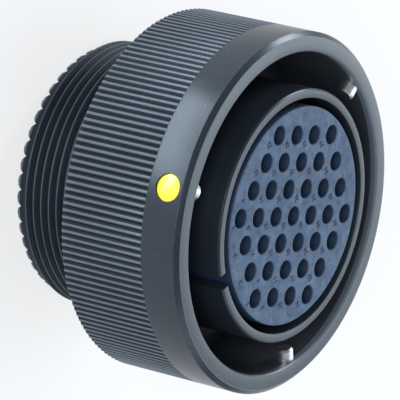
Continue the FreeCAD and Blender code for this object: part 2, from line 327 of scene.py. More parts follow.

# %% [markdown]
# ## The insert's resilient face
# The insert is a blue-grey silicone-like moulding. It is nearly matt, its colour is
# mottled, and it carries dark stains, fine pale scratches and some dust near its edge. Each
# of these is a mask made of noise, and they are laid over the rubber one after another.
# What lies below the face, in the cavities, is painted dark as painted shade.

# %% Insert rubber
insert_low, insert_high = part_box("contact_insert")
INSERT_RADIUS = 17.5 * MM
DUST_STARTS = INSERT_RADIUS - 0.4 * MM
DUST_FULL = INSERT_RADIUS - 0.1 * MM
CAVITY_SHADE_STARTS = insert_high.z - 0.08 * MM
CAVITY_SHADE_FULL = insert_high.z - 0.28 * MM
NOISE_MIDDLE = 0.5
SCRATCH_WIDTH = 0.0003
STAIN_STRENGTH = 0.65
SCRATCH_STRENGTH = 0.30
DUST_STRENGTH = 0.35
RUBBER_DARK = (0.042, 0.082, 0.152, 1)
RUBBER_PALE = (0.072, 0.122, 0.205, 1)
SCRATCH_COLOUR = (0.16, 0.22, 0.30, 1)
STAIN_COLOUR = (0.016, 0.030, 0.062, 1)
DUST_COLOUR = (0.17, 0.21, 0.26, 1)
CAVITY_SHADE_COLOUR = (0.015, 0.029, 0.062, 1)
RUBBER_GRAIN = 0.02 * MM


def insert_rubber():
    """Mottled blue-grey rubber with stains, scratches and dust on its face, and painted shade in
    its cavities.
    """
    material, tree, shader = new_finish("insert_rubber", Roughness=0.62, IOR=1.42)
    place = object_place(tree)
    x, y, z = axes_of(tree, place)
    radius = (x * x + y * y) ** 0.5
    clouds = noise(tree, place, scale=420, detail=5, roughness=0.6).above(low=0.35, high=0.65)
    grains = noise(tree, place, scale=2400, detail=3)
    dusty = radius.above(DUST_STARTS, DUST_FULL) * grains.above(low=0.45, high=0.7)
    stained = noise(tree, place, scale=800, detail=4, roughness=0.6).above(low=0.53, high=0.68)
    line = noise(tree, place, scale=330, detail=2) - NOISE_MIDDLE
    off_line = (line * line).above(low=0.0, high=SCRATCH_WIDTH)
    scratched = (1 - off_line) * clouds.above(low=0.4, high=0.8)
    # Painted shade: below the face, in the cavities, the rubber is painted dark.
    painted_cavity_shade = 1 - z.above(CAVITY_SHADE_FULL, CAVITY_SHADE_STARTS)
    base = mixed(tree, clouds, RUBBER_DARK, RUBBER_PALE)
    base = mixed(tree, scratched * SCRATCH_STRENGTH, base, SCRATCH_COLOUR)
    base = mixed(tree, stained * STAIN_STRENGTH, base, STAIN_COLOUR)
    base = mixed(tree, dusty * DUST_STRENGTH, base, DUST_COLOUR)
    base = mixed(tree, painted_cavity_shade, base, CAVITY_SHADE_COLOUR)
    normal = bump(tree, grains, RUBBER_GRAIN, strength=0.6)
    feed(tree, shader, Base_Color=base, Normal=normal)
    return material


rubber = insert_rubber()
print("finish:", rubber.name)

# %% [markdown]
# ## Steel and gold
# The pins and the spring parts are bare steel with turning marks, and the contacts are gold
# plated. One function makes all three metals, because only colour and gloss differ.

# %% Bright metals
METAL_DARKENS = 0.72
METAL_MARKS_ADD = 0.12
METAL_MARK_DEPTH = 0.003 * MM


def bright_metal(name, colour, roughness):
    """Bare or plated metal with fine turning marks."""
    material, tree, shader = new_finish(name, Metallic=1.0)
    marks = noise(tree, turned_place(tree, across=7000, along=90), scale=1.0, detail=3)
    clouds = noise(tree, object_place(tree), scale=500, detail=3)
    base = mixed(tree, clouds, scaled(colour, METAL_DARKENS), (*colour, 1))
    feed(tree, shader, Base_Color=base, Roughness=roughness + marks * METAL_MARKS_ADD)
    feed(tree, shader, Normal=bump(tree, marks, METAL_MARK_DEPTH))
    return material


steel = bright_metal("pin_steel", colour=(0.74, 0.75, 0.77), roughness=0.33)
spring_steel = bright_metal("spring_steel", colour=(0.56, 0.56, 0.55), roughness=0.28)
gold = bright_metal("contact_gold", colour=(0.83, 0.60, 0.25), roughness=0.24)
print("metals:", steel.name, spring_steel.name, gold.name)

# %% [markdown]
# ## Paint, rubber and ink
# The index mark is a thick drop of glossy yellow paint, the gasket is black rubber that is
# almost without gloss, and the cavities' numbers are printed in a dark ink that has rubbed
# thin here and there. All three are the same recipe: two close colours and a noise.

# %% Paint, seal and ink
PAINT_DEEP = (0.86, 0.70, 0.010, 1)
PAINT_BRIGHT = (0.95, 0.86, 0.05, 1)
PAINT_WAVES = 0.03 * MM
SEAL_BLACK = (0.006, 0.006, 0.007, 1)
SEAL_DUST = (0.020, 0.020, 0.022, 1)
SEAL_GRAIN = 0.015 * MM
INK_THICK = (0.005, 0.012, 0.036, 1)
INK_THIN = (0.016, 0.034, 0.076, 1)


def mark_paint():
    """Thick glossy yellow paint with a faint brush unevenness."""
    material, tree, shader = new_finish(
        "mark_paint", Roughness=0.22, IOR=1.5, Coat_Weight=0.6, Coat_Roughness=0.08)
    streaks = noise(tree, object_place(tree), scale=700, detail=3)
    base = mixed(tree, streaks, PAINT_DEEP, PAINT_BRIGHT)
    feed(tree, shader, Base_Color=base, Normal=bump(tree, streaks, PAINT_WAVES))
    return material


def seal_rubber():
    """Black moulded rubber, dusted grey."""
    material, tree, shader = new_finish("seal_rubber", Roughness=0.75, IOR=1.45)
    grains = noise(tree, object_place(tree), scale=1500, detail=4)
    base = mixed(tree, grains, SEAL_BLACK, SEAL_DUST)
    feed(tree, shader, Base_Color=base, Normal=bump(tree, grains, SEAL_GRAIN))
    return material


def print_ink():
    """Dark blue-grey print, thinned here and there."""
    material, tree, shader = new_finish("print_ink", Roughness=0.7, IOR=1.35)
    thinned = noise(tree, object_place(tree), scale=1800, detail=3)
    feed(tree, shader, Base_Color=mixed(tree, thinned, INK_THICK, INK_THIN))
    return material


yellow = mark_paint()
seal = seal_rubber()
number_ink = print_ink()
print("paint, seal and ink:", yellow.name, seal.name, number_ink.name)

# %% [markdown]
# ## Turning a section
# A turned part is drawn once, as half of its section, and spun. Real edges are never
# perfectly sharp, and a small arc at each corner is what catches the light. A bevel
# modifier would round every edge alike and would stumble over the knurl, so every corner
# of a section carries its own edge radius instead.

# %% Sections
EDGE_STEPS = 3


def with_arcs(corners, closed=True):
    """A section whose corners (radius, height, edge radius) are rounded by true arcs."""
    section = []
    for i, (r, z, edge) in enumerate(corners):
        at_end = not closed and i in (0, len(corners) - 1)
        if edge == 0 or at_end:
            section.append((r, z))
            continue
        corner = Vector((r, z))
        before = (Vector(corners[i - 1][:2]) - corner).normalized()
        after = (Vector(corners[(i + 1) % len(corners)][:2]) - corner).normalized()
        half = before.angle(after) / 2
        centre = corner + (before + after).normalized() * (edge / math.sin(half))
        first = corner + before * (edge / math.tan(half)) - centre
        last = corner + after * (edge / math.tan(half)) - centre
        sweep = first.angle_signed(last)
        for step in range(EDGE_STEPS + 1):
            spoke = first.copy()
            spoke.rotate(Matrix.Rotation(-sweep * step / EDGE_STEPS, 2))
            section.append(tuple(centre + spoke))
    return section


print("sections ready, with", EDGE_STEPS, "steps to an edge")

# %% Lathe
def spun(section, columns, closed=True, relief=None, rear_end=None):
    """Points and faces of a section spun about Z. An open section gets flat ends."""
    points = []
    for i, (r, z) in enumerate(section):
        for j in range(columns):
            angle = math.tau * j / columns
            reach = r - (relief(i, j) if relief else 0)
            height = max(z, rear_end(j)) if rear_end else z
            points.append((reach * math.cos(angle), reach * math.sin(angle), height))
    faces = []
    rings = len(section)
    for i in range(rings if closed else rings - 1):
        below = i * columns
        above = (i + 1) % rings * columns
        for j in range(columns):
            k = (j + 1) % columns
            faces.append((below + j, below + k, above + k, above + j))
    if not closed:
        faces.append(tuple(reversed(range(columns))))
        faces.append(tuple(range((rings - 1) * columns, rings * columns)))
    return points, faces


print("lathe ready")

# %% [markdown]
# ## From points to a piece
# Every piece is smooth apart from its sharp edges, which are told by an angle. Where one
# piece has more than one finish, a test on radius, height and normal chooses the faces.

# %% Pieces
SHARP_ANGLE = 40


def finish_mesh(mesh, sharp=SHARP_ANGLE):
    """Smooth shading, with edges over an angle in degrees kept sharp."""
    mesh.polygons.foreach_set("use_smooth", [True] * len(mesh.polygons))
    mesh.set_sharp_from_angle(angle=math.radians(sharp))
    mesh.update()


def new_piece(name, points, faces, finish, sharp=SHARP_ANGLE):
    """A mesh object with one finish, smooth apart from its sharp edges."""
    mesh = bpy.data.meshes.new(name)
    mesh.from_pydata(points, [], faces)
    mesh.materials.append(finish)
    mesh.validate()
    finish_mesh(mesh, sharp)
    return in_scene(name, mesh)


def put_on(piece, finish, chosen):
    """Gives another finish to the faces that a test on radius, height and normal chooses."""
    mesh = piece.data
    mesh.materials.append(finish)
    for face in mesh.polygons:
        if chosen(face.center.xy.length, face.center.z, face.normal):
            face.material_index = len(mesh.materials) - 1


def cut_from(piece, cutter, sharp=SHARP_ANGLE):
    """Takes a closed mesh away from a piece, and removes the cutter."""
    boolean = piece.modifiers.new("cut", "BOOLEAN")
    boolean.operation = "DIFFERENCE"
    boolean.solver = "EXACT"
    boolean.object = cutter
    graph = bpy.context.evaluated_depsgraph_get()
    result = bpy.data.meshes.new_from_object(piece.evaluated_get(graph))
    piece.modifiers.clear()
    piece.data = result
    finish_mesh(result, sharp)
    bpy.data.objects.remove(cutter)


print("piece helpers ready")

# %% [markdown]
# ## The coupling nut
# The nut is the part that a hand turns, so two thirds of its length carry a fine straight
# knurl of 162 ridges. Its crests are rounded, its grooves are sharp, and the ridges run
# out into the plain band in a small curve. Cutting 162 grooves with a Boolean would be slow
# and would leave ragged faces. Here the whole nut is one spun section, and the knurl is a
# relief taken off the rings of the knurled length.

# %% The nut's section
nut_low, nut_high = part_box("coupling_nut")
NUT_RADIUS = 28.95 * MM
NUT_REAR = nut_low.z
NUT_FRONT = nut_high.z
NUT_BORE = 25.8 * MM
NUT_RECESS = 25.0 * MM
LIP_BORE = 22.06 * MM
LIP_REAR = 16.4 * MM
LIP_FRONT = 17.9 * MM
LIP_CORNER = 0.2 * MM
KNURL_FRONT = 30.6 * MM
KNURL_DEPTH = 0.45 * MM
KNURL_RUN_OUT = 0.45 * MM
RUN_OUT_STEPS = 5
RUN_OUT_SHAPE = 0.8
FACE_CHAMFER = 0.75 * MM
BORE_CHAMFER = 0.25 * MM
BORE_MOUTH = 1.1 * MM
REAR_CHAMFER = 0.25 * MM
CHAMFER_SHARE = 0.4
FINE_EDGE = 0.08 * MM
CHAMFER_ROUNDING = 0.22 * MM


def nut_section():
    """The nut's section, and for each of its points the share of the knurl's depth."""
    section = [
        (NUT_RECESS, NUT_REAR + FINE_EDGE),
        (NUT_RECESS + FINE_EDGE, NUT_REAR),
        (NUT_RADIUS - KNURL_DEPTH - REAR_CHAMFER, NUT_REAR),
        (NUT_RADIUS - REAR_CHAMFER, NUT_REAR),
        (NUT_RADIUS, NUT_REAR + REAR_CHAMFER),
    ]
    shares = [0, 0, 0, CHAMFER_SHARE, 1]
    for step in range(RUN_OUT_STEPS + 1):
        turn = math.pi / 2 * step / RUN_OUT_STEPS
        section.append((NUT_RADIUS, KNURL_FRONT - KNURL_RUN_OUT * (1 - math.sin(turn))))
        shares.append(math.cos(turn) ** RUN_OUT_SHAPE)
    plain = with_arcs([
        (NUT_RADIUS, KNURL_FRONT + FINE_EDGE, 0),
        (NUT_RADIUS, NUT_FRONT - FACE_CHAMFER, FINE_EDGE),
        (NUT_RADIUS - FACE_CHAMFER, NUT_FRONT, CHAMFER_ROUNDING),
        (NUT_BORE + BORE_CHAMFER, NUT_FRONT, FINE_EDGE),
        (NUT_BORE, NUT_FRONT - BORE_CHAMFER, FINE_EDGE),
        (NUT_BORE, NUT_FRONT - BORE_MOUTH, 0),
        (NUT_BORE, LIP_FRONT, LIP_CORNER),
        (LIP_BORE, LIP_FRONT, FINE_EDGE),
        (LIP_BORE, LIP_REAR, FINE_EDGE),
        (NUT_RECESS, LIP_REAR, 0),
    ], closed=False)
    return section + plain, shares + [0] * len(plain)


nut_outline, knurl_shares = nut_section()
print("the nut's section has", len(nut_outline), "points")

# %% Coupling nut mesh
KNURL_RIDGES = 162
SAMPLES_PER_RIDGE = 10
CREST_OVERSHOOT = 0.15
CREST_ROUNDNESS = 6


def ridge_height(column):
    """0 in the bottom of a groove and 1 on the crest: straight flanks and a rounded top."""
    flank = 1 - abs(2 * (column % SAMPLES_PER_RIDGE) / SAMPLES_PER_RIDGE - 1)
    return flank * (1 + CREST_OVERSHOOT) - CREST_OVERSHOOT * flank ** CREST_ROUNDNESS


def knurl_relief(ring, column):
    """How deep the knurl is cut at one point of the nut."""
    return knurl_shares[ring] * KNURL_DEPTH * (1 - ridge_height(column))


nut_points, nut_faces = spun(
    nut_outline, KNURL_RIDGES * SAMPLES_PER_RIDGE, relief=knurl_relief)
nut = new_piece("coupling_nut_skin", nut_points, nut_faces, nut_plating)
print("nut:", len(nut_faces), "faces,", len(nut_outline), "rings")

# %% [markdown]
# ## The recess for the index mark
# A shallow round pocket is milled into the band, and the paint is dropped into it. The
# pocket is cut with a Boolean, because its round wall crosses the turned rings.

# %% Index mark recess
MARK_ANGLE = math.radians(51.6)
MARK_HEIGHT = 34.0 * MM
MARK_RADIUS = 2.2 * MM
MARK_RECESS = 0.55 * MM
MARK_SEGMENTS = 48


def outwards_at(angle, radius, height):
    """Stands a piece on a turned wall: its own Z points straight out of the wall."""
    out = Vector((math.cos(angle), math.sin(angle), 0))
    up = Vector((0, 0, 1))
    side = up.cross(out)
    turn = Matrix((side, up, out)).transposed().to_4x4()
    return Matrix.Translation(out * radius + up * height) @ turn


pocket_wall = [(MARK_RADIUS, 0), (MARK_RADIUS, 2 * MARK_RECESS)]
pocket_points, pocket_faces = spun(pocket_wall, MARK_SEGMENTS, closed=False)
pocket = new_piece("pocket_cutter", pocket_points, pocket_faces, nut_plating)
pocket.matrix_world = outwards_at(MARK_ANGLE, NUT_RADIUS - MARK_RECESS, MARK_HEIGHT)
cut_from(nut, pocket)
print("nut with its recess:", len(nut.data.polygons), "faces")

# %% [markdown]
# ## Painted light, shade and wear on the nut
# The ridges' crests are painted paler, partly as wear and partly as a painted highlight. The
# corner between the chamfer and the face carries a painted highlight line, and the mouth of
# the bore a painted strip of light. The grooves of the knurl are painted dark as painted
# shade. Painting this by hand would be lost with the next change of size, so each test
# below picks the faces of one such place by its radius, its height and its normal.

# %% Painted light, shade and wear on the nut
CREST_RADIUS = NUT_RADIUS - KNURL_DEPTH / 3
CREST_END = KNURL_FRONT - KNURL_RUN_OUT / 4
CHAMFER_CORNER = NUT_RADIUS - FACE_CHAMFER
BORE_OUTSIDE = NUT_BORE + 0.3 * MM
MOUTH_REAR = NUT_FRONT - BORE_MOUTH
# The Z of a normal is 1 where a face looks to the front and -1 where it looks to the rear.
FACES_REAR = -0.5
FACES_FRONT = 0.9
CORNER_FLATTEST = 0.995
CORNER_STEEPEST = 0.75


def on_crest(r, z, normal):
    """The top of a knurl ridge, painted paler: partly wear, partly a painted highlight."""
    return r > CREST_RADIUS and z < CREST_END


def in_groove(r, z, normal):
    """The flanks and the bottom of the knurl's grooves, painted dark as painted shade."""
    return (NUT_RADIUS - KNURL_DEPTH < r <= CREST_RADIUS and z < KNURL_FRONT
            and normal.z > FACES_REAR)


def in_bore(r, z, normal):
    """The bore's wall, up to its mouth with the painted strip of light."""
    return NUT_BORE - FINE_EDGE < r < BORE_OUTSIDE and LIP_FRONT < z <= MOUTH_REAR


def on_worn_edge(r, z, normal):
    """The corner of the face's chamfer, with a painted highlight line, and the bore's mouth, with a
    painted strip of light.
    """
    on_corner = abs(r - CHAMFER_CORNER) < CHAMFER_ROUNDING / 2
    in_mouth = NUT_BORE - FINE_EDGE < r < BORE_OUTSIDE and z > MOUTH_REAR
    return (on_corner and CORNER_STEEPEST < normal.z < CORNER_FLATTEST
            or in_mouth and normal.z < FACES_FRONT)


# Paler crests: wear and a painted highlight. Dark grooves: painted shade. The chamfer's corner and
# the bore's mouth: a painted highlight line and a painted strip of light.
put_on(nut, painted_light_and_wear_plating, on_crest)
put_on(nut, painted_shade_plating, in_groove)
put_on(nut, bore_plating, in_bore)
put_on(nut, painted_light_and_wear_plating, on_worn_edge)
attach(nut, "nut")
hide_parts("coupling_nut")
print("finishes on the nut:", [finish.name for finish in nut.data.materials])

# %% [markdown]
# ## The index mark
# The mark shows which way the nut has to point before mating. Its paint stands a little
# proud in the middle and draws back from the pocket's wall, as a drop does when it dries,
# so it is a small turned piece with a crowned top.

# %% Index mark
MARK_FILL = 0.25 * MM
MARK_CROWN = 0.06 * MM
MARK_GAP = 0.03 * MM
MARK_EDGE = 0.15 * MM
CROWN_BEND = 0.9 * MM
CROWN_SHOULDER = 0.6
CROWN_SHOULDER_RISE = 0.7
CROWN_FLAT = 0.1

mark_section = with_arcs([
    (MARK_RADIUS - MARK_GAP, 0, 0),
    (MARK_RADIUS - MARK_GAP, MARK_FILL, MARK_EDGE),
    (MARK_RADIUS * CROWN_SHOULDER, MARK_FILL + MARK_CROWN * CROWN_SHOULDER_RISE, CROWN_BEND),
    (MARK_RADIUS * CROWN_FLAT, MARK_FILL + MARK_CROWN, 0),
], closed=False)
mark_points, mark_faces = spun(mark_section, MARK_SEGMENTS, closed=False)
mark = new_piece("index_mark_paint", mark_points, mark_faces, yellow)
mark.matrix_world = outwards_at(MARK_ANGLE, NUT_RADIUS - MARK_RECESS, MARK_HEIGHT)
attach(mark, "nut")
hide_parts("index_mark")
print("index mark:", len(mark_faces), "faces")

# %% [markdown]
# ## The plug's shell
# The shell is one long turning: a threaded rear end, a journal for the nut, a flange and
# the thin barrel. It is spun like the nut. The 48 anti-rotation teeth are not cut out one
# by one: a wave pushes the rings at the rear end forwards along the axis, which leaves
# rounded teeth with sharp gaps.

# %% The shell's section
SHELL_TOP = 39.0 * MM
REAR_BORE = 19.3 * MM
REAR_BORE_EDGE = 0.15 * MM
BARREL_BORE = 18.8 * MM
BARREL_BORE_EDGE = 0.12 * MM
BARREL_RADIUS = 20.25 * MM
BARREL_EDGE = 0.25 * MM
GASKET_GROOVE = 19.95 * MM
GASKET_GROOVE_LENGTH = 1.0 * MM
FLANGE_RADIUS = 25.5 * MM
FLANGE_REAR = 21.3 * MM
FLANGE_FRONT = 23.2 * MM
FLANGE_CORNER = 0.1 * MM
JOURNAL_RADIUS = 22.0 * MM
JOURNAL_REAR = 13.7 * MM
JOURNAL_EDGE = 0.15 * MM
JOURNAL_CONE = 1.5 * MM
SNAP_GROOVE_REAR = 15.3 * MM
SNAP_GROOVE_FRONT = 16.4 * MM
SNAP_GROOVE_DEPTH = 1.0 * MM
THREAD_CORE = 20.5 * MM
TOOTH_DEPTH = 1.0 * MM
TIP_SETBACK = 0.3 * MM
TIP_SHOULDER = 0.06 * MM
TIP_END = 0.7 * MM
TEETH_OUTER_END = TOOTH_DEPTH * 1.15
TEETH_INNER_END = TOOTH_DEPTH * 1.3


def shell_section():
    """The shell's section, from the rear end outwards and round."""
    return with_arcs([
        (REAR_BORE + REAR_BORE_EDGE, 0, 0),
        (THREAD_CORE - TIP_SETBACK, 0, 0),
        (THREAD_CORE - TIP_SHOULDER, TIP_SETBACK, 0),
        (THREAD_CORE, TIP_END, 0),
        (THREAD_CORE, TEETH_OUTER_END, 0),
        (THREAD_CORE, JOURNAL_REAR - JOURNAL_CONE, FINE_EDGE),
        (JOURNAL_RADIUS, JOURNAL_REAR, JOURNAL_EDGE),
        (JOURNAL_RADIUS, SNAP_GROOVE_REAR, FINE_EDGE),
        (JOURNAL_RADIUS - SNAP_GROOVE_DEPTH, SNAP_GROOVE_REAR, 0),
        (JOURNAL_RADIUS - SNAP_GROOVE_DEPTH, SNAP_GROOVE_FRONT, 0),
        (JOURNAL_RADIUS, SNAP_GROOVE_FRONT, FINE_EDGE),
        (JOURNAL_RADIUS, FLANGE_REAR, FLANGE_CORNER),
        (FLANGE_RADIUS, FLANGE_REAR, FINE_EDGE),
        (FLANGE_RADIUS, FLANGE_FRONT, FINE_EDGE),
        (GASKET_GROOVE, FLANGE_FRONT, 0),
        (GASKET_GROOVE, FLANGE_FRONT + GASKET_GROOVE_LENGTH, 0),
        (BARREL_RADIUS, FLANGE_FRONT + GASKET_GROOVE_LENGTH, FINE_EDGE),
        (BARREL_RADIUS, SHELL_TOP - BARREL_EDGE, FINE_EDGE),
        (BARREL_RADIUS - BARREL_EDGE, SHELL_TOP, FINE_EDGE),
        (BARREL_BORE, SHELL_TOP, BARREL_BORE_EDGE),
        (BARREL_BORE, FLANGE_FRONT, 0),
        (REAR_BORE, FLANGE_FRONT, 0),
        (REAR_BORE, TEETH_INNER_END, 0),
    ])


shell_outline = shell_section()
print("the shell's section has", len(shell_outline), "points")

# %% Shell mesh
TEETH = 48
TOOTH_ROUNDNESS = 0.85
SAMPLES_PER_TOOTH = 16
SHELL_SHARP_ANGLE = 38


def tooth_rear(column):
    """How far the rear end is cut in: nothing on a tooth's tip, all in a gap."""
    across = (column % SAMPLES_PER_TOOTH) / SAMPLES_PER_TOOTH
    return TOOTH_DEPTH * (1 - math.sin(math.pi * across) ** TOOTH_ROUNDNESS)


shell_points, shell_faces = spun(
    shell_outline, TEETH * SAMPLES_PER_TOOTH, rear_end=tooth_rear)
shell = new_piece(
    "plug_shell_skin", shell_points, shell_faces, shell_plating, sharp=SHELL_SHARP_ANGLE)
print("shell:", len(shell_faces), "faces")

# %% [markdown]
# ## The keyway
# One straight keyway through the barrel's wall lets the connector mate in one position
# only. It is cut after the turning, as on the real part: a plain block is taken away.

# %% Keyway
KEYWAY_HALF = 1.2 * MM
OVERCUT = 1.0 * MM


def block(name, low, high, finish):
    """A plain closed block between two corners, to cut with."""
    corners = [
        (x, y, z)
        for z in (low[2], high[2])
        for x, y in ((low[0], low[1]), (high[0], low[1]), (high[0], high[1]), (low[0], high[1]))]
    sides = [(3, 2, 1, 0), (4, 5, 6, 7), (0, 1, 5, 4), (1, 2, 6, 5), (2, 3, 7, 6), (3, 0, 4, 7)]
    return new_piece(name, corners, sides, finish)


keyway = block(
    "keyway_cutter",
    (-KEYWAY_HALF, BARREL_BORE - OVERCUT, FLANGE_FRONT + GASKET_GROOVE_LENGTH),
    (KEYWAY_HALF, BARREL_RADIUS + OVERCUT, SHELL_TOP + OVERCUT), shell_plating)
cut_from(shell, keyway, sharp=SHELL_SHARP_ANGLE)
print("shell with its keyway:", len(shell.data.polygons), "faces")

# %% [markdown]
# ## Painted light and shade on the shell
# The teeth's tips are painted paler, as a painted highlight. The thread's core and the barrel's
# outer wall lie in the shade of their neighbours and are painted dark, as painted shade.

# %% Painted light and shade on the shell
TIP_LENGTH = TOOTH_DEPTH * 0.9
TIP_INSIDE = THREAD_CORE - 0.6 * MM
CORE_SKIN = THREAD_CORE - 0.1 * MM


def on_tooth_tip(r, z, normal):
    """The outer half of the teeth."""
    return r > TIP_INSIDE and z < TIP_LENGTH


def on_core(r, z, normal):
    """The thread's core and the cone in front of it."""
    return r > CORE_SKIN and TIP_LENGTH <= z < JOURNAL_REAR


def on_barrel_wall(r, z, normal):
    """The barrel's outer wall and the flange's front, in the depth of the gap."""
    return (r > GASKET_GROOVE - FINE_EDGE
            and FLANGE_FRONT - FINE_EDGE < z < SHELL_TOP - BARREL_EDGE)


# Painted highlight on the teeth's tips; painted shade on the thread's core and in the gap beside
# the barrel.
put_on(shell, painted_light_and_wear_plating, on_tooth_tip)
put_on(shell, painted_shade_plating, on_core)
put_on(shell, painted_shade_plating, on_barrel_wall)
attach(shell, "plug")
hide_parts("plug_shell")
print("finishes on the shell:", [finish.name for finish in shell.data.materials])

# %% [markdown]
# ## The rear thread
# A backshell screws onto the rear of the shell. The solid stops at the thread's core, and
# the ridge is added here: one profile swept along a helix of 1.5 mm pitch. A screw
# modifier could sweep it too, but a loop can also let its height fade in and out over
# part of the first and last turn, as a cut thread's does. The crests are painted paler as a
# painted highlight, and the flanks dark as painted shade.

# %% Thread ridge
THREAD_HEIGHT = 0.9 * MM
THREAD_PITCH = 1.5 * MM
THREAD_REAR = 1.5 * MM
THREAD_FRONT = 11.9 * MM
THREAD_STEPS = 192
THREAD_FADE = 0.3
THREAD_START = 0.5
ROOT_HALF = 0.62 * MM
ROOT_SUNK = -0.08
SHOULDER_HALF = 0.112 * MM
SHOULDER_SHARE = 0.93
CREST_HALF = 0.042 * MM


def thread_ridge():
    """Points and faces of the ridge, with closed ends."""
    turns = (THREAD_FRONT - THREAD_REAR) / THREAD_PITCH
    rungs = int(turns * THREAD_STEPS)
    profile = [
        (-ROOT_HALF, ROOT_SUNK), (-SHOULDER_HALF, SHOULDER_SHARE), (-CREST_HALF, 1.0),
        (CREST_HALF, 1.0), (SHOULDER_HALF, SHOULDER_SHARE), (ROOT_HALF, ROOT_SUNK)]
    points = []
    for rung in range(rungs + 1):
        turn = rung / THREAD_STEPS
        fade = min(1, turn / THREAD_FADE, (turns - turn) / THREAD_FADE)
        angle = math.tau * (turn - THREAD_START)
        for along, share in profile:
            reach = THREAD_CORE + THREAD_HEIGHT * min(share, share * max(fade, 0.0))
            height = THREAD_REAR + THREAD_PITCH * turn + along
            points.append((reach * math.cos(angle), reach * math.sin(angle), height))
    faces = [tuple(range(len(profile)))]
    for rung in range(rungs):
        first = rung * len(profile)
        following = first + len(profile)
        for i in range(len(profile)):
            k = (i + 1) % len(profile)
            faces.append((first + i, following + i, following + k, first + k))
    faces.append(tuple(reversed(range(rungs * len(profile), (rungs + 1) * len(profile)))))
    return points, faces


ridge_points, ridge_faces = thread_ridge()
print("thread ridge:", len(ridge_points), "points,", len(ridge_faces), "faces")

# %% Thread with painted highlight crests and painted shade flanks
HIGHLIGHT_SHARE = 0.94
THREAD_SHARP_ANGLE = 50


def on_thread_crest(r, z, normal):
    """The top of the thread, painted paler as a painted highlight."""
    return r > THREAD_CORE + THREAD_HEIGHT * HIGHLIGHT_SHARE


# The flanks and root are painted dark as painted shade, the crests paler as a painted highlight.
thread = new_piece(
    "rear_thread", ridge_points, ridge_faces, painted_shade_plating, sharp=THREAD_SHARP_ANGLE)
put_on(thread, thread_highlight_plating, on_thread_crest)
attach(thread, "plug")
print("finishes on the thread:", [finish.name for finish in thread.data.materials])

# %% [markdown]
# ## Where the cavities are
# The 37 cavities lie in a hexagonal pattern, in rows of 4, 5, 6, 7, 6, 5 and 4. One pitch
# and the row lengths give every centre, and the same list serves the insert's holes, the
# contacts and their numbers.

# %% Cavity places
ROWS = (4, 5, 6, 7, 6, 5, 4)
PITCH = 4.953 * MM

cavities = []
for row, count in enumerate(ROWS):
    row_height = ((len(ROWS) - 1) / 2 - row) * PITCH * math.sqrt(3) / 2
    for column in range(count):
        cavities.append(Vector(((column - (count - 1) / 2) * PITCH, row_height, 0)))
print("cavities:", len(cavities))

# %% [markdown]
# ## The insert
# The insert is a block with 37 holes whose rims are a little rounded. Its two faces are
# filled between the outer ring and the rims of the holes, and rings of quads join them,
# so the soft moulded edges are real geometry. Cutting the holes out by Boolean would leave
# hard edges, which a bevel could then not round evenly.

# %% Rings and faces
def ring_of(bm, centre, radius, height, segments):
    """A ring of new points."""
    ring = []
    for j in range(segments):
        angle = math.tau * j / segments
        x = centre.x + radius * math.cos(angle)
        y = centre.y + radius * math.sin(angle)
        ring.append(bm.verts.new((x, y, height)))
    return ring


def join_rings(bm, rings):
    """Quads from each ring to the following one."""
    for one, other in zip(rings, rings[1:]):
        for j in range(len(one)):
            k = (j + 1) % len(one)
            bm.faces.new((one[j], one[k], other[k], other[j]))


def fill_face(bm, loops, upwards):
    """Fills the flat face between an outer ring and the rims of its holes."""
    edges = []
    for loop in loops:
        for j in range(len(loop)):
            edges.append(bm.edges.get((loop[j], loop[(j + 1) % len(loop)])))
    normal = Vector((0, 0, 1 if upwards else -1))
    bmesh.ops.triangle_fill(bm, use_beauty=True, edges=edges, normal=normal)


print("ring helpers ready")

# %% Outlines of the insert
INSERT_REAR_RADIUS = 19.28 * MM
INSERT_SHOULDER = 23.2 * MM
INSERT_EDGE = 0.22 * MM
INSERT_SEGMENTS = 160
HOLE_RADIUS = 1.55 * MM
HOLE_RIM = 0.14 * MM
HOLE_SEGMENTS = 40
PRINT_THICKNESS = 0.02 * MM
INSERT_FACE = insert_high.z - PRINT_THICKNESS

insert_wall = with_arcs([
    (INSERT_REAR_RADIUS - INSERT_EDGE, insert_low.z, 0),
    (INSERT_REAR_RADIUS, insert_low.z, INSERT_EDGE / 2),
    (INSERT_REAR_RADIUS, INSERT_SHOULDER, FINE_EDGE),
    (INSERT_RADIUS, INSERT_SHOULDER, FINE_EDGE),
    (INSERT_RADIUS, INSERT_FACE, INSERT_EDGE),
    (INSERT_RADIUS - 2 * INSERT_EDGE, INSERT_FACE, 0),
], closed=False)
hole_wall = with_arcs([
    (HOLE_RADIUS + 2 * HOLE_RIM, INSERT_FACE, 0),
    (HOLE_RADIUS, INSERT_FACE, HOLE_RIM),
    (HOLE_RADIUS, insert_low.z, HOLE_RIM),
    (HOLE_RADIUS + 2 * HOLE_RIM, insert_low.z, 0),
], closed=False)
print("rings on the insert's wall:", len(insert_wall), "and on a hole:", len(hole_wall))

# %% Insert mesh
def insert_mesh():
    """The block of the insert, with a rounded rim at both ends of each hole."""
    bm = bmesh.new()
    middle = Vector((0, 0, 0))
    outer = [ring_of(bm, middle, r, z, INSERT_SEGMENTS) for r, z in insert_wall]
    join_rings(bm, outer)
    fronts = [outer[-1]]
    rears = [outer[0]]
    for centre in cavities:
        rings = [ring_of(bm, centre, r, z, HOLE_SEGMENTS) for r, z in hole_wall]
        join_rings(bm, rings)
        fronts.append(rings[0])
        rears.append(rings[-1])
    fill_face(bm, fronts, upwards=True)
    fill_face(bm, rears, upwards=False)
    bmesh.ops.recalc_face_normals(bm, faces=bm.faces[:])
    mesh = bpy.data.meshes.new("insert_block")
    bm.to_mesh(mesh)
    bm.free()
    mesh.materials.append(rubber)
    finish_mesh(mesh)
    return mesh


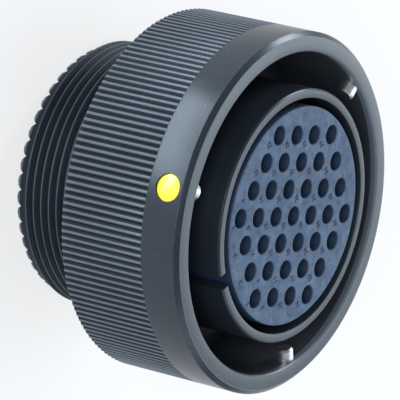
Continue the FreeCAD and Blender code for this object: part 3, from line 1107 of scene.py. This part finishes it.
insert = in_scene("insert_block", insert_mesh())
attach(insert, "plug")
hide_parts("contact_insert")
print("insert:", len(insert.data.polygons), "faces")

# %% [markdown]
# ## Cavity numbers
# Each cavity is numbered on the face, just above it, in small print that is darker than
# the insert. A painted texture would need a picture. The numbers are plain text objects
# turned into one thin mesh, so that they ride and export like any other piece. Those that
# would run over the insert's edge are drawn in towards the middle.

# %% Cavity numbers
NUMBER_HEIGHT = 1.2 * MM
NUMBER_BOLDNESS = 0.045 * MM
NUMBER_CURVE_STEPS = 2
NUMBER_RISE = 2.85 * MM
NUMBER_REACH = 16.55 * MM


def number_mesh():
    """The numbers 1 to 37, each above its cavity and clear of the insert's edge."""
    bm = bmesh.new()
    for i, place in enumerate(cavities, start=1):
        writing = bpy.data.curves.new("number", "FONT")
        writing.body = str(i)
        writing.size = NUMBER_HEIGHT
        writing.align_x = "CENTER"
        writing.align_y = "CENTER"
        writing.extrude = PRINT_THICKNESS / 2
        writing.offset = NUMBER_BOLDNESS
        writing.resolution_u = NUMBER_CURVE_STEPS
        holder = in_scene("number", writing)
        spot = place + Vector((0, NUMBER_RISE, 0))
        spot *= min(1, NUMBER_REACH / spot.length)
        spot.z = insert_high.z - PRINT_THICKNESS / 2
        holder.matrix_world = Matrix.Translation(spot)
        bpy.context.view_layer.update()
        graph = bpy.context.evaluated_depsgraph_get()
        flat = bpy.data.meshes.new_from_object(holder.evaluated_get(graph))
        flat.transform(holder.matrix_world)
        bm.from_mesh(flat)
        bpy.data.objects.remove(holder)
    mesh = bpy.data.meshes.new("cavity_numbers")
    bm.to_mesh(mesh)
    bm.free()
    mesh.materials.append(number_ink)
    return mesh


numbers = in_scene("cavity_numbers", number_mesh())
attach(numbers, "plug")
print("numbers:", len(numbers.data.polygons), "faces")

# %% [markdown]
# ## The wave spring
# A strip with three waves presses the nut back against the snap ring. It is a ring of flat
# sections that rise and fall along a cosine. When the nut is pulled forwards the strip
# flattens.

# %% Wave spring
SPRING_INNER = 22.3 * MM
SPRING_OUTER = 25.45 * MM
SPRING_REAR = 18.85 * MM
SPRING_STRIP = 0.5 * MM
SPRING_SWING = 0.95 * MM
SPRING_WAVES = 3
SPRING_STEPS = 192


def wave_strip():
    """Points and faces of the waved strip."""
    section = (
        (SPRING_INNER, 0), (SPRING_OUTER, 0), (SPRING_OUTER, SPRING_STRIP),
        (SPRING_INNER, SPRING_STRIP))
    corners = len(section)
    points = []
    faces = []
    for step in range(SPRING_STEPS):
        turn = math.tau * step / SPRING_STEPS
        rise = SPRING_REAR + SPRING_SWING * (1 - math.cos(SPRING_WAVES * turn))
        for reach, thickness in section:
            points.append((reach * math.cos(turn), reach * math.sin(turn), rise + thickness))
        first = corners * step
        following = corners * ((step + 1) % SPRING_STEPS)
        for side in range(corners):
            other = (side + 1) % corners
            faces.append((first + side, following + side, following + other, first + other))
    return points, faces


spring_points, spring_faces = wave_strip()
spring = new_piece("wave_spring_strip", spring_points, spring_faces, spring_steel)
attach(spring, "plug")
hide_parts("wave_spring")
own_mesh(spring)
print("wave spring:", len(spring_faces), "faces")

# %% [markdown]
# ## The socket contacts
# A contact is a turned pin with a bore for the mating pin at its front and a solder cup at
# its rear, with half of the cup's wall cut away. It is spun from an open section, so both
# bores have a bottom. One mesh is made and shared by all 37.

# %% Contact mesh
contact_low, contact_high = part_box("socket_contact_01")
CONTACT_RADIUS = 1.45 * MM
CONTACT_NOSE = 0.3 * MM
CONTACT_BORE = 0.80 * MM
CONTACT_BORE_EDGE = 0.2 * MM
CONTACT_BORE_DEPTH = 7.0 * MM
CUP_BORE = 1.05 * MM
CUP_DEPTH = 4.6 * MM
CUP_OPENING = 3.4 * MM
DRILL_CONE = 0.3 * MM
DRILL_POINT = 0.3
CONTACT_SEGMENTS = 32


def contact_mesh():
    """One contact on the Z axis, at its height in the connector."""
    rear, front = contact_low.z, contact_high.z
    section = with_arcs([
        (CUP_BORE * DRILL_POINT, rear + CUP_DEPTH + DRILL_CONE, 0),
        (CUP_BORE, rear + CUP_DEPTH, 0),
        (CUP_BORE, rear, FINE_EDGE),
        (CONTACT_RADIUS, rear, FINE_EDGE),
        (CONTACT_RADIUS, front, CONTACT_NOSE),
        (CONTACT_BORE, front, CONTACT_BORE_EDGE),
        (CONTACT_BORE, front - CONTACT_BORE_DEPTH, 0),
        (CONTACT_BORE * DRILL_POINT, front - CONTACT_BORE_DEPTH - DRILL_CONE, 0),
    ], closed=False)
    points, faces = spun(section, CONTACT_SEGMENTS, closed=False)
    contact = new_piece("contact_master", points, faces, gold)
    reach = 2 * CONTACT_RADIUS
    cutter = block(
        "cup_cutter", (-reach, -reach, rear - OVERCUT), (reach, 0, rear + CUP_OPENING), gold)
    cut_from(contact, cutter)
    mesh = contact.data
    mesh.name = "socket_contact"
    bpy.data.objects.remove(contact)
    return mesh


shared_contact = contact_mesh()
print("one contact:", len(shared_contact.polygons), "faces")

# %% A contact in each cavity
for i, place in enumerate(cavities, start=1):
    contact = in_scene("contact_%02d" % i, shared_contact)
    contact.location = place
    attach(contact, "plug")
    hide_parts("socket_contact_%02d" % i)
print("contacts:", len(cavities))

# %% [markdown]
# ## Solids that keep their own shape
# The pins, the gasket and three rings inside are shown as the solids that they are, and
# only take a finish. They are plain turned forms, so a new mesh would add nothing.

# %% Finishes on the solids
FINISH_OF = {
    "insert_ring": shell_plating,
    "snap_ring": spring_steel,
    "thrust_washer": spring_steel,
    "shell_gasket": seal,
    "bayonet_pin_1": steel,
    "bayonet_pin_2": steel,
    "bayonet_pin_3": steel,
}
for node, finish in FINISH_OF.items():
    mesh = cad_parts[node].data
    mesh.materials.clear()
    mesh.materials.append(finish)
print("dressed solids:", len(FINISH_OF))

# %% [markdown]
# ## Floor
# The floor is a plain pale sheet. A large share of glow, for the camera and for reflections
# alike, brings it near white and lifts the shadow. The rest of it is lit like any matt
# surface, so the connector's own shadow still shows.

# %% Floor
FLOOR_REACH = 6.0
FLOOR_GLOW = 0.68
GLOW_WHITE = (1, 1, 1, 1)
FLOOR_DULL = (0.91, 0.92, 0.94, 1)
FLOOR_PALE = (0.94, 0.95, 0.96, 1)


def floor_finish():
    """Matt white with a hardly visible unevenness, mixed with a plain glow."""
    material, tree, shader = new_finish("floor_white", Roughness=0.9)
    clouds = noise(tree, object_place(tree), scale=3, detail=2)
    feed(tree, shader, Base_Color=mixed(tree, clouds, FLOOR_DULL, FLOOR_PALE))
    camera_ray = Shade.from_node(tree, "ShaderNodeLightPath", {}, {}, output="Is Camera Ray")
    glossy_ray = camera_ray.sibling("Is Glossy Ray")
    through_ray = camera_ray.sibling("Is Transmission Ray")
    seen = camera_ray + glossy_ray + through_ray
    glow = Shade.from_node(tree, "ShaderNodeEmission", {}, {"Color": GLOW_WHITE, "Strength": 1.0})
    lit = Shade(tree, shader.outputs[0])
    both = Shade.from_node(tree, "ShaderNodeMixShader", {}, {0: seen * FLOOR_GLOW, 1: lit, 2: glow})
    tree.links.new(both.socket, tree.nodes["Material Output"].inputs["Surface"])
    return material


half = FLOOR_REACH / 2
floor_points = [(-half, -half, 0), (half, -half, 0), (half, half, 0), (-half, half, 0)]
floor = new_piece("floor", floor_points, [(0, 1, 2, 3)], floor_finish())
floor.location.z = cad_low.z
print("floor at", floor.location.z)

# %% [markdown]
# ## Light
# Black plating shows its lamps more than its own colour, so each lamp stands where one
# surface mirrors it. The key lamp and the sheen lamp share the front faces: the sheen
# lamp's edge lies at their mirror point, so the sheen fades across them. The side lamp
# lifts the darkest part of the chamfer, and the chamfer lamp gives it its highlight. The
# fill stands near the camera and lights what the camera sees. A narrow panel near the
# floor draws the streak along the plain band. Each brightness is what a mirror would
# show of the lamp.

# %% Softboxes
LAMP_TINT = (0.90, 0.96, 1.0)


def lamp_panel(name, width, height, brightness):
    """A rectangular lamp with a cool tint, not placed yet."""
    data = bpy.data.lights.new(name, "AREA")
    data.shape = "RECTANGLE"
    data.size = width
    data.size_y = height
    data.energy = brightness * math.pi * width * height
    data.color = LAMP_TINT
    return in_scene(name, data)


def softbox(name, way, distance, width, brightness):
    """A square lamp that stands some way off and is aimed at the connector."""
    lamp = lamp_panel(name, width, width, brightness)
    way = Vector(way).normalized()
    lamp.location = AIM + way * distance
    lamp.rotation_mode = "QUATERNION"
    lamp.rotation_quaternion = (-way).to_track_quat("-Z", "Y")


softbox("lamp_key", way=(-0.60, -0.54, 0.60), distance=1.1, width=1.2, brightness=1.25)
softbox("lamp_sheen", way=(-0.27, -0.76, 0.59), distance=1.1, width=0.6, brightness=3.0)
softbox("lamp_side", way=(-0.71, 0.43, 0.55), distance=1.1, width=0.6, brightness=1.5)
softbox("lamp_chamfer", way=(0.315, -0.890, 0.325), distance=0.8, width=0.20, brightness=18.0)
softbox("lamp_fill", way=(0.50, 0.76, 0.46), distance=1.2, width=0.5, brightness=11.0)
print("softboxes:", [light.name for light in bpy.data.lights])

# %% Streak panel and surroundings
STREAK_PLACE = Vector((69.5, 33, 2)) * MM
STREAK_TURN = math.radians(21)
SURROUND_COLOUR = (0.80, 0.88, 1.0, 1)
SURROUND_STRENGTH = 0.35

streak = lamp_panel("lamp_streak", width=28 * MM, height=66 * MM, brightness=10.0)
streak.location = STREAK_PLACE
streak.rotation_euler = (math.pi, 0, STREAK_TURN)
streak.visible_camera = False

world = bpy.data.worlds.new("surround")
world.use_nodes = True
background = world.node_tree.nodes["Background"]
background.inputs["Color"].default_value = SURROUND_COLOUR
background.inputs["Strength"].default_value = SURROUND_STRENGTH
bpy.context.scene.world = world
bpy.context.scene.view_settings.view_transform = "Standard"
print("streak panel at", [round(x, 4) for x in streak.location])
